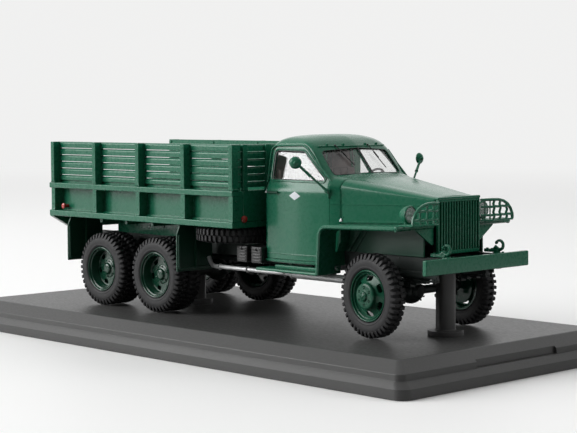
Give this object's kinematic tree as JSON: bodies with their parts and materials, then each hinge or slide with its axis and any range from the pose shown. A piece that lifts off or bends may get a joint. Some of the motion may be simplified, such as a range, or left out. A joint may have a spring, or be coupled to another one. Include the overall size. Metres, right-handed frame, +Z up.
{
  "type": "scale model military cargo truck",
  "caption": "Scale model of a three-axle military cargo truck with slatted cargo bed, held by two posts on its display plinth; all wheels roll.",
  "frame": {"origin": "middle of the plinth's underside", "axes": "+X towards the truck's front, +Y towards its left side, +Z up"},
  "size_m": [0.1906, 0.0904, 0.0617],
  "materials": {
    "green_paint": "glossy",
    "black_plastic": "fine grained satin",
    "black_rubber": "matte",
    "dark_metal": "satin",
    "silver_metal": "satin silver",
    "screw_steel": "plated",
    "red_plastic": "glossy",
    "clear_glass": "clear",
    "brown_trim": "matte",
    "black_trim": "satin"
  },
  "bodies": {
    "root": {"plinth": "black_plastic", "support_posts": "black_plastic", "plinth_screws": "screw_steel", "frame": "green_paint", "front_bumper": "green_paint", "tow_hooks": "green_paint", "leaf_springs": "dark_metal", "front_axle": "green_paint", "middle_axle": "green_paint", "rear_axle": "green_paint", "transfer_case": "dark_metal", "driveshafts": "dark_metal", "engine": "dark_metal", "exhaust_pipe": "silver_metal", "spare_tyre": "black_rubber", "spare_rim": "green_paint", "cargo_floor": "green_paint", "right_side_panel": "green_paint", "left_side_panel": "green_paint", "right_rack": "green_paint", "left_rack": "green_paint", "headboard": "green_paint", "tailgate": "green_paint", "front_rack": "green_paint", "mud_guards": "green_paint", "reflectors": "red_plastic", "tool_boxes": "green_paint", "fuel_tank": "green_paint", "cab_shell": "green_paint", "right_door": "green_paint", "left_door": "green_paint", "cab_glass": "clear_glass", "cab_floor": "green_paint", "seat": "brown_trim", "dashboard": "green_paint", "steering_wheel": "black_trim", "hood": "green_paint", "radiator": "dark_metal", "grille": "green_paint", "right_fender": "green_paint", "left_fender": "green_paint", "headlights": "green_paint", "headlight_lenses": "clear_glass", "headlight_guards": "green_paint", "mirrors": "green_paint", "running_boards": "green_paint"},
    "front_right_wheel": {"front_right_tyre": "black_rubber", "front_right_rim": "green_paint"},
    "front_left_wheel": {"front_left_tyre": "black_rubber", "front_left_rim": "green_paint"},
    "middle_right_wheel": {"middle_right_tyre": "black_rubber", "middle_right_rim": "green_paint"},
    "middle_left_wheel": {"middle_left_tyre": "black_rubber", "middle_left_rim": "green_paint"},
    "rear_right_wheel": {"rear_right_tyre": "black_rubber", "rear_right_rim": "green_paint"},
    "rear_left_wheel": {"rear_left_tyre": "black_rubber", "rear_left_rim": "green_paint"}
  },
  "joints": [
    {"name": "front_right_spin", "type": "hinge", "parent": "root", "child": "front_right_wheel", "pos_m": [0.0607, -0.0185, 0.02005], "axis": [0.1132, 0.9936, 0], "continuous": true},
    {"name": "front_left_spin", "type": "hinge", "parent": "root", "child": "front_left_wheel", "pos_m": [0.0607, 0.0185, 0.02005], "axis": [0.1132, 0.9936, 0], "continuous": true},
    {"name": "middle_right_spin", "type": "hinge", "parent": "root", "child": "middle_right_wheel", "pos_m": [-0.0218, -0.0202, 0.01995], "axis": [0, 1, 0], "continuous": true},
    {"name": "middle_left_spin", "type": "hinge", "parent": "root", "child": "middle_left_wheel", "pos_m": [-0.0218, 0.0202, 0.01995], "axis": [0, 1, 0], "continuous": true},
    {"name": "rear_right_spin", "type": "hinge", "parent": "root", "child": "rear_right_wheel", "pos_m": [-0.0477, -0.0202, 0.01995], "axis": [0, 1, 0], "continuous": true},
    {"name": "rear_left_spin", "type": "hinge", "parent": "root", "child": "rear_left_wheel", "pos_m": [-0.0477, 0.0202, 0.01995], "axis": [0, 1, 0], "continuous": true}
  ]
}
